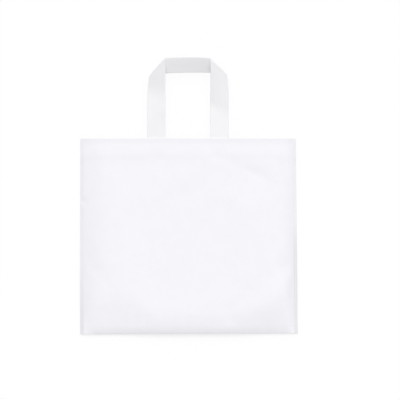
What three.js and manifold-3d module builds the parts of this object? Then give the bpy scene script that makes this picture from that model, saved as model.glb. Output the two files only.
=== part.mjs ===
// Non-woven shopping bag, lying on its back panel with its front up.
// One web of cloth makes the bag: it is tucked in at the foot as a gusset, welded down both sides and
// turned in at the mouth as a hem. Two loop handles, each a strap folded over at its corners, are
// welded to the inside of the hem.
// Millimetres, +Z up. X runs across the bag, and +Y from the foot to the mouth and the handles.
// The origin is on the floor, under the middle of the back panel.

import * as THREE from 'three';
import { mergeVertices } from 'three/addons/utils/BufferGeometryUtils.js';
import Module from 'manifold-3d';

const wasm = await Module();
wasm.setup();

// Driving dimensions of the bag
const BAG_WIDTH = 360; // over the side welds
const BAG_HEIGHT = 325; // from the foot to the mouth
const CLOTH = 0.5; // one layer
const HEM_DEPTH = 30; // turned in at the mouth
const HEM_EDGE = 0.4; // slope of the hem's cut edge
const GUSSET_DEPTH = 50; // tucked in at the foot, half the depth of the opened base
const SEAM_WIDTH = 6; // side weld
const WELD_GAP = 0.2; // between the layers where they run into the side weld
const WELD_LAP = 0.7; // melted edge of the side weld, beyond its width
const TRIM_FRAY = 0.3; // depth to which the layers stand apart along the trimmed edge

// How the bag lies
const LOFT = 15; // front panel above the floor
const SEAM_RISE = 3; // middle of the side weld above the floor
const SIDE_ROUND = 45; // stretch over which the front panel falls to a side weld
const BACK_ROUND = 30; // stretch over which the back panel rises to a side weld
const FOOT_ROUND = 45; // stretch over which the front panel falls to the foot
const LAYER_RUN = 25; // stretch over which the side weld thins from four layers to two
const FOOT_BEND = 1.1; // radius of the two folds at the foot, in the middle of the cloth
const FOOT_GAP = 0.8; // air between those two folds
const GUSSET_BEND = 1.2; // radius of the fold at the top of the gusset

// Driving dimensions of the handles
const STRAP_WIDTH = 30;
const STRAP_THICKNESS = 1; // two layers of cloth with their edges turned in
const STRAP_SPACING = 104; // between the middles of a handle's legs
const STRAP_REACH = 135; // from the mouth to the far edge of the grip, along the strap
const STRAP_TAB = 26; // welded inside the hem
const STRAP_BEND = 0.9; // radius of a corner fold, in the middle of the strap
const SEAT_GAP = 0.3; // between a strap and the hem that it is welded to

// How the handles lie
const HANDLE_STACK = 11; // front handle above the rear one
const MOUTH_LEAD = 3; // a strap runs level this far out of the mouth
const SETTLE_RUN = 56; // stretch over which it settles to the level that it lies at
const CURL_RUN = 14; // stretch over which the legs then turn up
const CURL_ANGLE = 20; // degrees that the far part of a handle stands up
const GRIP_TILT = 14.5; // further degrees that the grip hangs down from its far edge
const GRIP_TWIST = 25; // distance from a corner fold over which the grip takes on that tilt

// Fineness of the curved surfaces
const SIDE_STEPS = 7;
const PANEL_STEPS = 14;
const FOOT_STEPS = 7;
const TUCK_STEPS = 6;
const WELD_STEPS = 26;
const FOLD_STEPS = 6;
const MOUTH_ROUND = [0, 40, 75]; // degrees round the fold at the mouth
const ACROSS_STEPS = 6;
const LEG_STEPS = 20;
const CORNER_STEPS = 4;
const GRIP_STEPS = 4;
const CORNER_MARGIN = 3; // from a corner fold to the nearest square row of the strap

// Values worked out from the driving dimensions
const HALF_WIDTH = BAG_WIDTH / 2;
const SEAM_X = HALF_WIDTH - SEAM_WIDTH;
const FOOT_Y = -BAG_HEIGHT / 2;
const MOUTH_Y = BAG_HEIGHT / 2;
const HEM_Y = MOUTH_Y - HEM_DEPTH;
const GUSSET_Y = FOOT_Y + GUSSET_DEPTH;
const HALF_CLOTH = CLOTH / 2;
const HEM_THICKNESS = 2 * CLOTH;
const LAYER_PITCH = CLOTH + WELD_GAP;
const SEAM_BEND = LAYER_PITCH / 2;
const FRONT_LEVEL = LOFT - HALF_CLOTH;
const BACK_LEVEL = HALF_CLOTH;
const FOOT_LEVEL = BACK_LEVEL + 4 * FOOT_BEND + CLOTH + FOOT_GAP;

const HALF_STRAP = STRAP_THICKNESS / 2;
const HALF_STRAP_WIDTH = STRAP_WIDTH / 2;
const LEG_X = STRAP_SPACING / 2;
const STRAP_ARC = Math.PI * STRAP_BEND; // length of strap that goes round a corner fold
const CORNER_S = STRAP_REACH - HALF_STRAP_WIDTH - STRAP_ARC * Math.SQRT1_2;
const GRIP_MIDDLE_S = CORNER_S + LEG_X + STRAP_ARC * Math.SQRT1_2;

const { lerp, smoothstep, clamp, degToRad } = THREE.MathUtils;
const shares = (count) => Array.from({ length: count + 1 }, (_, i) => i / count);
const between = (from, to, count) => shares(count).map((share) => lerp(from, to, share));

// Closed solid of a sheet with a face and a back, from rows that run across it. A row has a point of
// each at every place. With +X along a row and +Y towards the next row, the face would look to +Z.
function thickSheet(rows) {
  const count = rows[0].face.length;
  const points = rows.flatMap((row) => [...row.face, ...row.back]);
  const face = (r, c) => 2 * count * r + c;
  const back = (r, c) => face(r, c) + count;
  const index = [];
  const quad = (a, b, c, d) => index.push(a, b, c, a, c, d);
  const lastRow = rows.length - 1;
  const lastPlace = count - 1;
  for (let r = 0; r < lastRow; r += 1) {
    for (let c = 0; c < lastPlace; c += 1) {
      quad(face(r, c), face(r, c + 1), face(r + 1, c + 1), face(r + 1, c));
      quad(back(r, c), back(r + 1, c), back(r + 1, c + 1), back(r, c + 1));
    }
    quad(face(r, 0), face(r + 1, 0), back(r + 1, 0), back(r, 0));
    quad(face(r, lastPlace), back(r, lastPlace), back(r + 1, lastPlace), face(r + 1, lastPlace));
  }
  for (let c = 0; c < lastPlace; c += 1) {
    quad(face(0, c), back(0, c), back(0, c + 1), face(0, c + 1));
    quad(face(lastRow, c), face(lastRow, c + 1), back(lastRow, c + 1), back(lastRow, c));
  }
  const geometry = new THREE.BufferGeometry().setFromPoints(points);
  geometry.setIndex(index);
  return geometry;
}

function toSolid(geometry) {
  const merged = mergeVertices(geometry);
  return new wasm.Manifold(new wasm.Mesh({
    numProp: 3,
    vertProperties: merged.attributes.position.array,
    triVerts: Uint32Array.from(merged.index.array),
  }));
}

function toGeometry(solid) {
  const mesh = solid.getMesh();
  const geometry = new THREE.BufferGeometry();
  geometry.setAttribute('position', new THREE.BufferAttribute(mesh.vertProperties, 3));
  geometry.setIndex(new THREE.BufferAttribute(mesh.triVerts, 1));
  geometry.computeVertexNormals();
  return geometry;
}

// Shape of the bag. Heights are those of the middle of the cloth.

// Share of the way round from the inner edge of a side weld, 0, to the level panel, 1.
function roundOver(x, run) {
  const along = clamp((SEAM_X - Math.abs(x)) / run, 0, 1);
  return 1 - (1 - along) ** 2;
}

// Height between the outer layers in a side weld: four layers at the gusset and the hem, two between.
function weldHeight(y) {
  const aboveGusset = smoothstep(y, GUSSET_Y, GUSSET_Y + LAYER_RUN);
  const belowHem = 1 - smoothstep(y, HEM_Y - LAYER_RUN, HEM_Y);
  return LAYER_PITCH * (3 - 2 * aboveGusset * belowHem);
}

function backHeight(x, y) {
  return lerp(SEAM_RISE - weldHeight(y) / 2, BACK_LEVEL, roundOver(x, BACK_ROUND));
}

function frontHeight(x, y) {
  const upFromFoot = clamp((y - FOOT_Y) / FOOT_ROUND, 0, 1);
  const middle = lerp(FRONT_LEVEL, FOOT_LEVEL, (1 - upFromFoot) ** 3);
  return lerp(SEAM_RISE + weldHeight(y) / 2, middle, roundOver(x, SIDE_ROUND));
}

// The bag's section in the YZ plane is a line of the cloth's middle. Each place on it has y, z and how
// far the cloth reaches outward and inward from there.
const place = (y, z, outward = HALF_CLOTH, inward = HALF_CLOTH) => ({ y, z, outward, inward });

// A fold as an arc that starts and ends at the given headings. It turns left where they increase.
function fold(centre, radius, from, to) {
  const side = Math.sign(to - from) * radius;
  return between(from, to, FOLD_STEPS).map((heading) =>
    place(centre.y + side * Math.sin(heading), centre.z - side * Math.cos(heading)));
}

// A panel from its mouth edge, a rounded fold, over the double hem and down to where the foot fold starts.
function panel(heightAt, footY) {
  const inner = HEM_THICKNESS - HALF_CLOTH;
  const middle = (inner - HALF_CLOTH) / 2;
  const lip = MOUTH_ROUND.toReversed().map((degrees) => {
    const round = degToRad(degrees);
    const half = CLOTH * Math.cos(round);
    const y = MOUTH_Y - CLOTH + CLOTH * Math.sin(round);
    return place(y, heightAt(y), half - middle, half + middle);
  });
  const run = between(HEM_Y - HEM_EDGE, FOOT_Y + FOOT_ROUND, PANEL_STEPS);
  const foot = between(FOOT_Y + FOOT_ROUND, footY, FOOT_STEPS).slice(1);
  const hem = place(HEM_Y, heightAt(HEM_Y), HALF_CLOTH, inner);
  return [...lip, hem, ...[...run, ...foot].map((y) => place(y, heightAt(y)))];
}

// One side of the tucked-in gusset, from a foot fold to the gusset's own fold or back.
function tuck(from, to) {
  return shares(TUCK_STEPS).slice(1, -1).map((share) =>
    place(lerp(from.y, to.y, share), lerp(from.z, to.z, smoothstep(share, 0, 1))));
}

// The whole section at one place across the bag, from the front mouth edge to the rear one.
function clothLine(x) {
  const full = roundOver(x, SIDE_ROUND);
  const footBend = lerp(SEAM_BEND, FOOT_BEND, full);
  const gussetBend = lerp(SEAM_BEND, GUSSET_BEND, full);
  const footY = FOOT_Y + HALF_CLOTH + footBend;
  const front = panel((y) => frontHeight(x, y), footY);
  const back = panel((y) => backHeight(x, y), footY).reverse();

  const [above, end] = front.slice(-2);
  const slope = Math.atan2(above.z - end.z, above.y - end.y);
  const frontCentre = { y: end.y + footBend * Math.sin(slope), z: end.z - footBend * Math.cos(slope) };
  const frontFold = fold(frontCentre, footBend, Math.PI + slope, 2 * Math.PI);
  const backCentre = { y: footY, z: back[0].z + footBend };
  const backFold = fold(backCentre, footBend, Math.PI, 2 * Math.PI);
  const gussetCentre = {
    y: GUSSET_Y - HALF_CLOTH - gussetBend,
    z: (frontHeight(x, GUSSET_Y) + backHeight(x, GUSSET_Y)) / 2,
  };
  const gussetFold = fold(gussetCentre, gussetBend, 0, -Math.PI);
  return [
    ...front.slice(0, -1),
    ...frontFold,
    ...tuck(frontFold.at(-1), gussetFold[0]),
    ...gussetFold,
    ...tuck(gussetFold.at(-1), backFold[0]),
    ...backFold,
    ...back.slice(1),
  ];
}

// Row of the bag's cloth at one place across it: outer face and inner face along the section.
function clothRow(x) {
  const line = clothLine(x);
  const offset = (i, distance) => {
    const before = line[Math.max(i - 1, 0)];
    const after = line[Math.min(i + 1, line.length - 1)];
    const way = new THREE.Vector2(after.y - before.y, after.z - before.z).normalize();
    return new THREE.Vector3(x, line[i].y + way.y * distance, line[i].z - way.x * distance);
  };
  return {
    face: line.map((here, i) => offset(i, here.outward)),
    back: line.map((here, i) => offset(i, -here.inward)),
  };
}

// The pressed layers of one side weld, filled from the back panel's cloth to the front panel's.
function sideWeld(side) {
  const ys = between(MOUTH_Y - HEM_THICKNESS, FOOT_Y + HALF_CLOTH, WELD_STEPS);
  const xs = [SEAM_X - WELD_LAP, SEAM_X, HALF_WIDTH - TRIM_FRAY].map((x) => side * x).sort((a, b) => a - b);
  return thickSheet(xs.map((x) => ({
    face: ys.map((y) => new THREE.Vector3(x, y, frontHeight(x, y))),
    back: ys.map((y) => new THREE.Vector3(x, y, backHeight(x, y))),
  })));
}

function bagBody() {
  const right = [0, ...between(SEAM_X - SIDE_ROUND, SEAM_X, SIDE_STEPS), HALF_WIDTH];
  const left = right.slice(1).reverse().map((x) => -x);
  const cloth = toSolid(thickSheet([...left, ...right].map(clothRow)));
  return toGeometry(cloth.add(toSolid(sideWeld(-1))).add(toSolid(sideWeld(1))));
}

// Shape of a handle

// A line in the YZ plane that sets out level and runs through stretches, each a length and the angle
// that it turns up by. Gives the place and the heading at a distance along the line.
function runThrough(start, stretches) {
  return (distance) => {
    const here = { ...start, heading: 0 };
    let left = distance;
    for (const { length, turn } of stretches) {
      const run = Math.min(left, length);
      const heading = here.heading + (turn * run) / length;
      const chord = (heading + here.heading) / 2;
      const half = (heading - here.heading) / 2;
      const reach = half === 0 ? run : (run * Math.sin(half)) / half;
      here.y += reach * Math.cos(chord);
      here.z += reach * Math.sin(chord);
      here.heading = heading;
      left -= run;
    }
    return here;
  };
}

// How a handle lies: level in the hem, settling to its own level outside the mouth, then turned up.
function handleRun(seatLevel, level) {
  const bend = (level - seatLevel) / (SETTLE_RUN / 2);
  return runThrough({ y: MOUTH_Y - STRAP_TAB, z: seatLevel }, [
    { length: STRAP_TAB + MOUTH_LEAD, turn: 0 },
    { length: SETTLE_RUN / 2, turn: bend },
    { length: SETTLE_RUN / 2, turn: -bend },
    { length: CURL_RUN, turn: degToRad(CURL_ANGLE) },
    { length: STRAP_REACH, turn: 0 },
  ]);
}

// Place of a point of the left half of the strap once its corner is folded over, with the handle flat.
// s runs along the strap from the mouth, w across it and n up from its middle.
function folded(s, w, n) {
  const past = (s - CORNER_S - w) * Math.SQRT1_2;
  const flat = new THREE.Vector3(w - LEG_X, s, n);
  if (past <= 0) return flat;
  const away = new THREE.Vector3(-Math.SQRT1_2, Math.SQRT1_2, 0);
  flat.addScaledVector(away, -past);
  if (past < STRAP_ARC) {
    const turned = past / STRAP_BEND;
    flat.addScaledVector(away, (STRAP_BEND + n) * Math.sin(turned));
    flat.z = (STRAP_BEND + n) * Math.cos(turned) - STRAP_BEND;
    return flat;
  }
  flat.addScaledVector(away, STRAP_ARC - past);
  const tilt = degToRad(GRIP_TILT) * smoothstep(past - STRAP_ARC, 0, GRIP_TWIST);
  const below = flat.y - STRAP_REACH;
  flat.y = STRAP_REACH + below * Math.cos(tilt) + n * Math.sin(tilt);
  flat.z = below * Math.sin(tilt) - n * Math.cos(tilt) - 2 * STRAP_BEND;
  return flat;
}

// Rows across the left half of the strap, from its tab to the middle of the grip. Each crosses the
// middle of the strap at s, square to it at slant 0 and along the corner fold at slant 1.
function strapRows() {
  const square = CORNER_S - HALF_STRAP_WIDTH - CORNER_MARGIN;
  const foldEnd = CORNER_S + STRAP_ARC * Math.SQRT2;
  const grip = foldEnd + HALF_STRAP_WIDTH + CORNER_MARGIN;
  const turn = (from, to, a, b) => shares(CORNER_STEPS).slice(1).map((share) =>
    ({ s: lerp(from, to, share), slant: lerp(a, b, share) }));
  return [
    ...between(-STRAP_TAB, square, LEG_STEPS).map((s) => ({ s, slant: 0 })),
    ...turn(square, CORNER_S, 0, 1),
    ...between(CORNER_S, foldEnd, FOLD_STEPS).slice(1).map((s) => ({ s, slant: 1 })),
    ...turn(foldEnd, grip, 1, 0),
    ...between(grip, GRIP_MIDDLE_S, GRIP_STEPS).slice(1).map((s) => ({ s, slant: 0 })),
  ];
}

function strapHandle(seatLevel, level) {
  const run = handleRun(seatLevel, level);
  const lay = (p, mirror) => {
    const on = run(p.y + STRAP_TAB);
    return new THREE.Vector3(
      mirror * p.x, on.y - p.z * Math.sin(on.heading), on.z + p.z * Math.cos(on.heading));
  };
  const widths = between(-HALF_STRAP_WIDTH, HALF_STRAP_WIDTH, ACROSS_STEPS);
  const rowAt = ({ s, slant }, mirror) => ({
    face: widths.map((w) => lay(folded(s + slant * w, w, HALF_STRAP), mirror)),
    back: widths.map((w) => lay(folded(s + slant * w, w, -HALF_STRAP), mirror)),
  });
  const half = strapRows();
  const left = half.map((row) => rowAt(row, 1));
  const right = half.slice(0, -1).reverse().map((row) => rowAt(row, -1));
  const geometry = thickSheet([...left, ...right]);
  geometry.computeVertexNormals();
  return geometry;
}

const REAR_SEAT = HEM_THICKNESS + SEAT_GAP + HALF_STRAP;
const FRONT_SEAT = LOFT - HEM_THICKNESS - SEAT_GAP - HALF_STRAP;

function named(name, geometry, material) {
  const mesh = new THREE.Mesh(geometry, material);
  mesh.name = name;
  return mesh;
}

const cloth = new THREE.MeshStandardMaterial({ color: 0xf4f3f7, roughness: 0.85, metalness: 0 });
const strap = new THREE.MeshStandardMaterial({ color: 0xf1f0f3, roughness: 0.85, metalness: 0 });

const bag = new THREE.Group();
bag.add(named('bag_body', bagBody(), cloth));
bag.add(named('front_handle', strapHandle(FRONT_SEAT, HALF_STRAP + HANDLE_STACK), strap));
bag.add(named('rear_handle', strapHandle(REAR_SEAT, HALF_STRAP), strap));

export default bag;
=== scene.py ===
# %% [markdown]
# # A white non-woven shopping bag
# A machine makes this bag from one web of spunbond cloth: fine plastic threads that fall in a random mat and
# are melted together at thousands of small points. The web is folded, welded down its two sides and hemmed at
# the mouth, and two strap handles are welded inside the hem.
# A bag like this could be made as a padded box with a picture of cloth on it. Here each piece is cut flat and
# folded the way the machine folds it, because the folds, the doubled hem and the welds are what a reader
# will recognise from every side.

import math

import bmesh
import bpy
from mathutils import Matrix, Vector


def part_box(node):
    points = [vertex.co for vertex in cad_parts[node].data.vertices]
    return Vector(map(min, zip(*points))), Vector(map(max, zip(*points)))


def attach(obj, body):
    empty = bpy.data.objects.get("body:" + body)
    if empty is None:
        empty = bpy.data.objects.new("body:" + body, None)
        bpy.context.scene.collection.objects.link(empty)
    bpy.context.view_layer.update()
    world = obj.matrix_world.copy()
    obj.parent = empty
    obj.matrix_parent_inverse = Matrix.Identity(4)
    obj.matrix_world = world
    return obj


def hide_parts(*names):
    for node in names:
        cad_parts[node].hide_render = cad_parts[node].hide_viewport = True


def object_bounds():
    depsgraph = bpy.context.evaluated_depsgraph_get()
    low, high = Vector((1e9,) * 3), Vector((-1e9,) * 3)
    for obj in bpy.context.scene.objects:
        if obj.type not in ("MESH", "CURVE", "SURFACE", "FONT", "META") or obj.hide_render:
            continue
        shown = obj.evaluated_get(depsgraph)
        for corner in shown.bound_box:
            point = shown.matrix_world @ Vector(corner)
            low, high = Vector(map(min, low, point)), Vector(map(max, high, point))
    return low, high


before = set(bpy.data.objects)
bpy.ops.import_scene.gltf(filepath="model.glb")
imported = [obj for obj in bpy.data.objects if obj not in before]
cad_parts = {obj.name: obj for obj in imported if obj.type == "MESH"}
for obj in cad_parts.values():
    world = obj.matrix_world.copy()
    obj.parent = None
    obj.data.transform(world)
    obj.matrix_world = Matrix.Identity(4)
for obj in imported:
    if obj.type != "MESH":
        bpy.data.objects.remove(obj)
cad_box = [list(corner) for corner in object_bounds()]
print("Solids in the frame:", ", ".join(sorted(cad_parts)))

# %% [markdown]
# ## Camera
# The picture looks straight at the front of the bag. Cloth can't stand by itself, so the bag lies on its back
# and the camera looks down on it. A camera with no perspective would do, but a long lens from almost three
# metres keeps the sides nearly parallel and still spreads the raised handle a little, as a real lens does.

# %% Camera
PICTURE_SPAN = 0.6645  # what the square picture takes in at the level of the side welds
PICTURE_MIDDLE = Vector((0.0191, 0.0608, 0.003))  # what the camera looks at, at that level
LENS = 150  # millimetres
SENSOR = 36  # millimetres


def add_object(name, data):
    thing = bpy.data.objects.new(name, data)
    bpy.context.scene.collection.objects.link(thing)
    return thing


camera_data = bpy.data.cameras.new("photo_camera")
camera_data.lens = LENS
camera_data.sensor_width = SENSOR
camera = add_object("photo_camera", camera_data)
camera.location = PICTURE_MIDDLE + Vector((0, 0, PICTURE_SPAN * LENS / SENSOR))
bpy.context.scene.camera = camera
print(f"Camera {camera.location.z:.3f} m above the floor")

# %% [markdown]
# ## Helpers for nodes
# The sky, the floor and the finishes are small networks of nodes. They could be wired up in the editor and
# saved in a file, but a few helpers keep them readable in a script. One of them tells a ray that comes from
# the camera, straight or by way of something shiny or clear, from a ray that only carries light.

# %% Helpers for nodes
WHITE = (1, 1, 1, 1)


def add_node(tree, kind, inputs, **settings):
    node = tree.nodes.new(kind)
    for name, value in settings.items():
        setattr(node, name, value)
    for name, value in inputs.items():
        if isinstance(value, bpy.types.NodeSocket):
            tree.links.new(value, node.inputs[name])
        else:
            node.inputs[name].default_value = value
    return node


def add_math(tree, operation, first, second=0.0):
    return add_node(tree, "ShaderNodeMath", {0: first, 1: second}, operation=operation).outputs["Value"]


def add_range(tree, value, low, high, start, end):
    inputs = {"Value": value, "From Min": low, "From Max": high, "To Min": start, "To Max": end}
    return add_node(tree, "ShaderNodeMapRange", inputs).outputs["Result"]


def add_shader_mix(tree, share, first, second):
    return add_node(tree, "ShaderNodeMixShader", {0: share, 1: first.outputs[0], 2: second.outputs[0]})


def add_seen(tree):
    ray = add_node(tree, "ShaderNodeLightPath", {}).outputs
    through = add_math(tree, "MAXIMUM", ray["Is Glossy Ray"], ray["Is Transmission Ray"])
    return add_math(tree, "MAXIMUM", ray["Is Camera Ray"], through)


print("Helpers for nodes are ready")

# %% [markdown]
# ## Light
# White cloth on white shows its form only by slope, so the light has one clear direction: a very soft sun
# behind the handles and a little to the right, and an even sky for the rest. On level cloth the two add up to
# about one, so that it renders in about the colour that its material states.
# Several area lamps would do too, but they fall off across the floor and leave it grey at the corners.

# %% Sun
SUN_LEAN = 22  # degrees from straight above, towards the handles
SUN_TURN = 15  # degrees that the lean turns to the right
SUN_SPREAD = 60  # degrees across, which softens the shadows
SUN_SHARE = 0.553  # of full light, on a surface that faces the sun

bpy.context.scene.view_settings.view_transform = "Standard"
sun_data = bpy.data.lights.new("soft_sun", "SUN")
sun_data.energy = math.pi * SUN_SHARE
sun_data.angle = math.radians(SUN_SPREAD)
sun = add_object("soft_sun", sun_data)
sun.rotation_euler = (math.radians(-SUN_LEAN), 0, math.radians(-SUN_TURN))
print(f"The sun gives level cloth {SUN_SHARE * math.cos(math.radians(SUN_LEAN)):.3f} of full light")

# %% Sky
SKY_SHARE = 0.498  # of full light

sky = bpy.data.worlds.new("even_sky")
sky.use_nodes = True
sky_tree = sky.node_tree
sky_light = sky_tree.nodes["Background"]
sky_light.inputs["Color"].default_value = WHITE
sky_light.inputs["Strength"].default_value = SKY_SHARE
sky_seen = add_node(sky_tree, "ShaderNodeBackground", {"Color": WHITE, "Strength": 1.0})
sky_mix = add_shader_mix(sky_tree, add_seen(sky_tree), sky_light, sky_seen)
sky_tree.links.new(sky_mix.outputs["Shader"], sky_tree.nodes["World Output"].inputs["Surface"])
bpy.context.scene.world = sky
print(f"The sky gives it {SKY_SHARE}")

# %% [markdown]
# ## Floor
# The floor is plain white. A white surface alone would show all of the bag's shadow, and a white glow none of
# it. So for the camera the floor is a surface below the foot, where the shadow shows best, and more and more
# of a glow from the foot to the handles, which also keeps it white out to the corners. For light that bounces
# back to the bag the floor is a pale grey, as a table would be.

# %% Floor
FLOOR_HALF = 8.0  # far past the picture on every side
FLOOR_DROP = 0.0002  # below the lowest cloth, so that the two don't flicker


def add_mesh(name, shape):
    mesh = bpy.data.meshes.new(name)
    shape.to_mesh(mesh)
    shape.free()
    return add_object(name, mesh)


floor_level = cad_box[0][2] - FLOOR_DROP
floor_shape = bmesh.new()
bmesh.ops.create_grid(floor_shape, x_segments=1, y_segments=1, size=FLOOR_HALF)
bmesh.ops.translate(floor_shape, verts=floor_shape.verts, vec=(0, 0, floor_level))
floor = add_mesh("floor", floor_shape)
print(f"Floor at {floor_level:.4f} m")

# %% White of the floor
FAR_GLOW = 0.0  # share of the glow further below the foot
FAR_RUN = 0.008  # stretch below the foot over which it fades
FOOT_GLOW = 0.62  # share of the glow at the foot
HANDLE_GLOW = 0.95  # share of the glow around the handles
FADE_RUN = 0.320  # stretch over which the one becomes the other
FLOOR_WHITE = (0.99, 0.99, 0.99, 1)  # just white in full light
FLOOR_GREY = (0.62, 0.62, 0.62, 1)  # what the bag is lit by

floor_paint = bpy.data.materials.new("floor_white")
floor_paint.use_nodes = True
floor_tree = floor_paint.node_tree
floor_tree.nodes.clear()
floor_place = add_node(floor_tree, "ShaderNodeTexCoord", {})
floor_axes = add_node(floor_tree, "ShaderNodeSeparateXYZ", {"Vector": floor_place.outputs["Object"]})
foot_line = cad_box[0][1]
floor_y = floor_axes.outputs["Y"]
far_share = add_range(floor_tree, floor_y, foot_line - FAR_RUN, foot_line, FAR_GLOW, FOOT_GLOW)
floor_share = add_range(floor_tree, floor_y, foot_line, foot_line + FADE_RUN, far_share, HANDLE_GLOW)
floor_surface = add_node(floor_tree, "ShaderNodeBsdfDiffuse", {"Color": FLOOR_WHITE})
floor_glow = add_node(floor_tree, "ShaderNodeEmission", {"Color": WHITE, "Strength": 1.0})
floor_seen = add_shader_mix(floor_tree, floor_share, floor_surface, floor_glow)
floor_bounce = add_node(floor_tree, "ShaderNodeBsdfDiffuse", {"Color": FLOOR_GREY})
floor_mix = add_shader_mix(floor_tree, add_seen(floor_tree), floor_bounce, floor_seen)
add_node(floor_tree, "ShaderNodeOutputMaterial", {"Surface": floor_mix.outputs["Shader"]})
floor.data.materials.append(floor_paint)
print(f"Material {floor_paint.name} with {len(floor_tree.nodes)} nodes")

# %% [markdown]
# ## Sizes of the bag
# The width, height and loft come from the solid that the cloth stands for. The other sizes are those of the
# real folds and welds. A designer could measure them all from the solid's mesh, but a named value says what
# each one is.

# %% Sizes of the bag
body_low, body_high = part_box("bag_body")
HALF_WIDTH = body_high.x
FOOT_Y = body_low.y
MOUTH_Y = body_high.y
LOFT = body_high.z
CLOTH = 0.0005  # thickness of one layer
HEM_DEPTH = 0.030
GUSSET_DEPTH = 0.050
SEAM_WIDTH = 0.006  # of a side weld
FOOT_BEND = 0.0008  # radius of a fold at the foot
FOOT_GAP = 0.0005  # between the two folds at the foot
STRAP_WIDTH = 0.030
STRAP_SPACING = 0.104  # between the middles of a strap's two legs
STRAP_TAB = 0.026  # how far a strap end reaches down behind the hem

SEAM_X = HALF_WIDTH - SEAM_WIDTH
HEM_Y = MOUTH_Y - HEM_DEPTH
GUSSET_Y = FOOT_Y + GUSSET_DEPTH
TAB_Y = MOUTH_Y - STRAP_TAB
LEG_X = STRAP_SPACING / 2
HALF_STRAP_WIDTH = STRAP_WIDTH / 2
LEG_INNER = LEG_X - HALF_STRAP_WIDTH
LEG_OUTER = LEG_X + HALF_STRAP_WIDTH
HALF_CLOTH = CLOTH / 2
FRONT_LEVEL = LOFT - HALF_CLOTH
BACK_LEVEL = body_low.z + HALF_CLOTH
FOOT_LEVEL = BACK_LEVEL + 4 * FOOT_BEND + CLOTH + FOOT_GAP  # two folds, one on the other
print(f"Bag {2 * HALF_WIDTH:.3f} m wide, {MOUTH_Y - FOOT_Y:.3f} m high, {LOFT:.4f} m thick")

# %% [markdown]
# ## How the panels lie
# An empty bag on a table is a flat cushion of air. The front panel is level in the middle, rounds down to the
# two side welds and falls to the foot fold, which stands a little higher in the middle, where the gusset is
# slack. Near the lower corners, where the folded gusset pushes it up, the panel stands higher and falls for
# longer. The welds are four layers thick beside the hem and the gusset and two layers thick between them,
# their trimmed edges droop, and the left one is puckered in one place.
# The panels could be sculpted, but a height for each place on them is enough to say all this, so they are two
# short formulas. Where the bag's two sides differ, a value comes as a pair: left, then right.

# %% Helpers that blend
def mix(start, end, share):
    return start + (end - start) * share


def clamp(value, low, high):
    return min(max(value, low), high)


def share_of(value, low, high):
    return clamp((value - low) / (high - low), 0.0, 1.0)


def ease(value, low, high):
    share = share_of(value, low, high)
    return share * share * (3 - 2 * share)


def pick_side(x, left, right):  # a value for this side of the bag's middle line
    return left if x < 0 else right


print("Helpers that blend are ready")

# %% Heights of the side welds
FOOT_RISE = (0.0011, 0.0026)  # middle of a weld above the floor at the foot: its edge, its inside
LEFT_RISE = (0.0020, 0.0042)  # the same further up
RIGHT_RISE = (0.0012, 0.0042)
SEAM_RUN = 0.075  # stretch from the foot over which the weld rises
LAYER_PITCH = 0.00054  # from layer to layer
LAYER_RUN = 0.010  # stretch over which a weld thins from four layers to two
WELD_PUCKER = (-0.174, 0.059, 0.006, 0.0045, 0, -0.0014)  # middle, reach across and along, turn, height


def dent(x, y, middle_x, middle_y, across, along, turn, height):
    angle = math.radians(turn)
    over = (x - middle_x) * math.cos(angle) + (y - middle_y) * math.sin(angle)
    up = (y - middle_y) * math.cos(angle) - (x - middle_x) * math.sin(angle)
    return height * math.exp(-((over / across) ** 2) - (up / along) ** 2)


def weld_height(y):
    above_gusset = ease(y, GUSSET_Y, GUSSET_Y + LAYER_RUN)
    below_hem = 1 - ease(y, HEM_Y - LAYER_RUN, HEM_Y)
    return LAYER_PITCH * (3 - 2 * above_gusset * below_hem)  # from the lowest layer to the topmost


def weld_middle(x, y):
    up = ease(y, FOOT_Y, FOOT_Y + SEAM_RUN)
    across = share_of(abs(x), HALF_WIDTH, SEAM_X)
    upper_rise = mix(*pick_side(x, LEFT_RISE, RIGHT_RISE), across)
    return mix(mix(*FOOT_RISE, across), upper_rise, up) + dent(x, y, *WELD_PUCKER)


thick_weld = 1000 * (weld_height(HEM_Y) + CLOTH)
thin_weld = 1000 * (weld_height(0) + CLOTH)
print(f"Welds {thick_weld:.1f} mm thick at the hem and {thin_weld:.1f} mm below it")

# %% Heights of the two panels
LEFT_ROUND = (0.044, 0.110, 0.67)  # stretch of the quick fall to the weld and of the slow one, quick share
RIGHT_ROUND = (0.025, 0.150, 0.75)
CORNER_QUICK = (0.030, 0.015)  # the quick stretch at the lower corners
QUICK_REACH = (0.020, 0.075)  # from the foot, where the corners' stretch begins to widen and has done so
BACK_ROUND = 0.030  # stretch over which the back panel rises to a weld
FOOT_ROLL = 0.015  # last stretch, where the front panel rolls over into the foot fold
ROLL_DROP = (0.0030, 0.0020)  # how far it rolls over at the left edge, and from the middle on
FOOT_OPEN = 0.0020  # how much higher the foot fold stands in the middle
FOOT_ROUND = 0.040  # stretch of the slower fall before it
CORNER_FALL = (0.095, 0.078)  # the same at the lower corners
EDGE_FALL = (0.0, 0.030)  # how much longer it is beside the weld
EDGE_REACH = (0.130, 0.170)  # from the middle, where that begins and where it is full
CORNER_CROWN = (0.0036, 0.0046)  # how much higher the panel stands at the lower corners
LEFT_REACH = (0.040, 0.125)  # from the middle, where the left corner begins and where it is full
RIGHT_REACH = (0.050, 0.155)
CROWN_REACH = (0.140, -0.080)  # along the bag, where the crown begins and where it is full
FALL_POWER = 2.2  # a little steeper at the foot than a parabola


def rounded(x, run):
    return 1 - (1 - share_of(SEAM_X - abs(x), 0, run)) ** 2


def front_rounded(x, y):
    quick, slow, quick_share = pick_side(x, LEFT_ROUND, RIGHT_ROUND)
    quick = mix(pick_side(x, *CORNER_QUICK), quick, ease(y - FOOT_Y, *QUICK_REACH))
    return mix(rounded(x, slow), rounded(x, quick), quick_share)


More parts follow.
